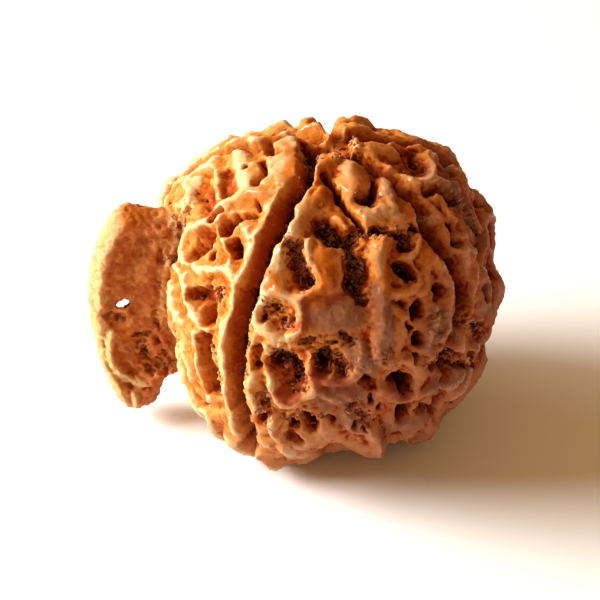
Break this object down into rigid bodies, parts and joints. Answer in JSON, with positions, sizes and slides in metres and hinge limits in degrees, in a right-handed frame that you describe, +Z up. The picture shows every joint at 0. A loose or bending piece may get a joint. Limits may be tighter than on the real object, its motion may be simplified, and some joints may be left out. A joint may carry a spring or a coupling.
{
  "type": "rudraksha bead",
  "caption": "Round brown seed stone with deep grooves from pole to pole, a raised net of ridges and pits, and a thin curved outgrowth on one side.",
  "frame": {"origin": "middle of the small flat spot that the bead rests on, below its lower pole", "axes": "+Z up through the two poles, +X away from the outgrowth, so that the outgrowth points to -X, and -Y towards the side that shows best"},
  "size_m": [0.0248, 0.0202, 0.0199],
  "materials": {
    "seed_stone": "waxy, semi-gloss on the crests and dull in the pits"
  },
  "bodies": {
    "root": {"rudraksha_bead": "seed_stone"}
  },
  "joints": []
}
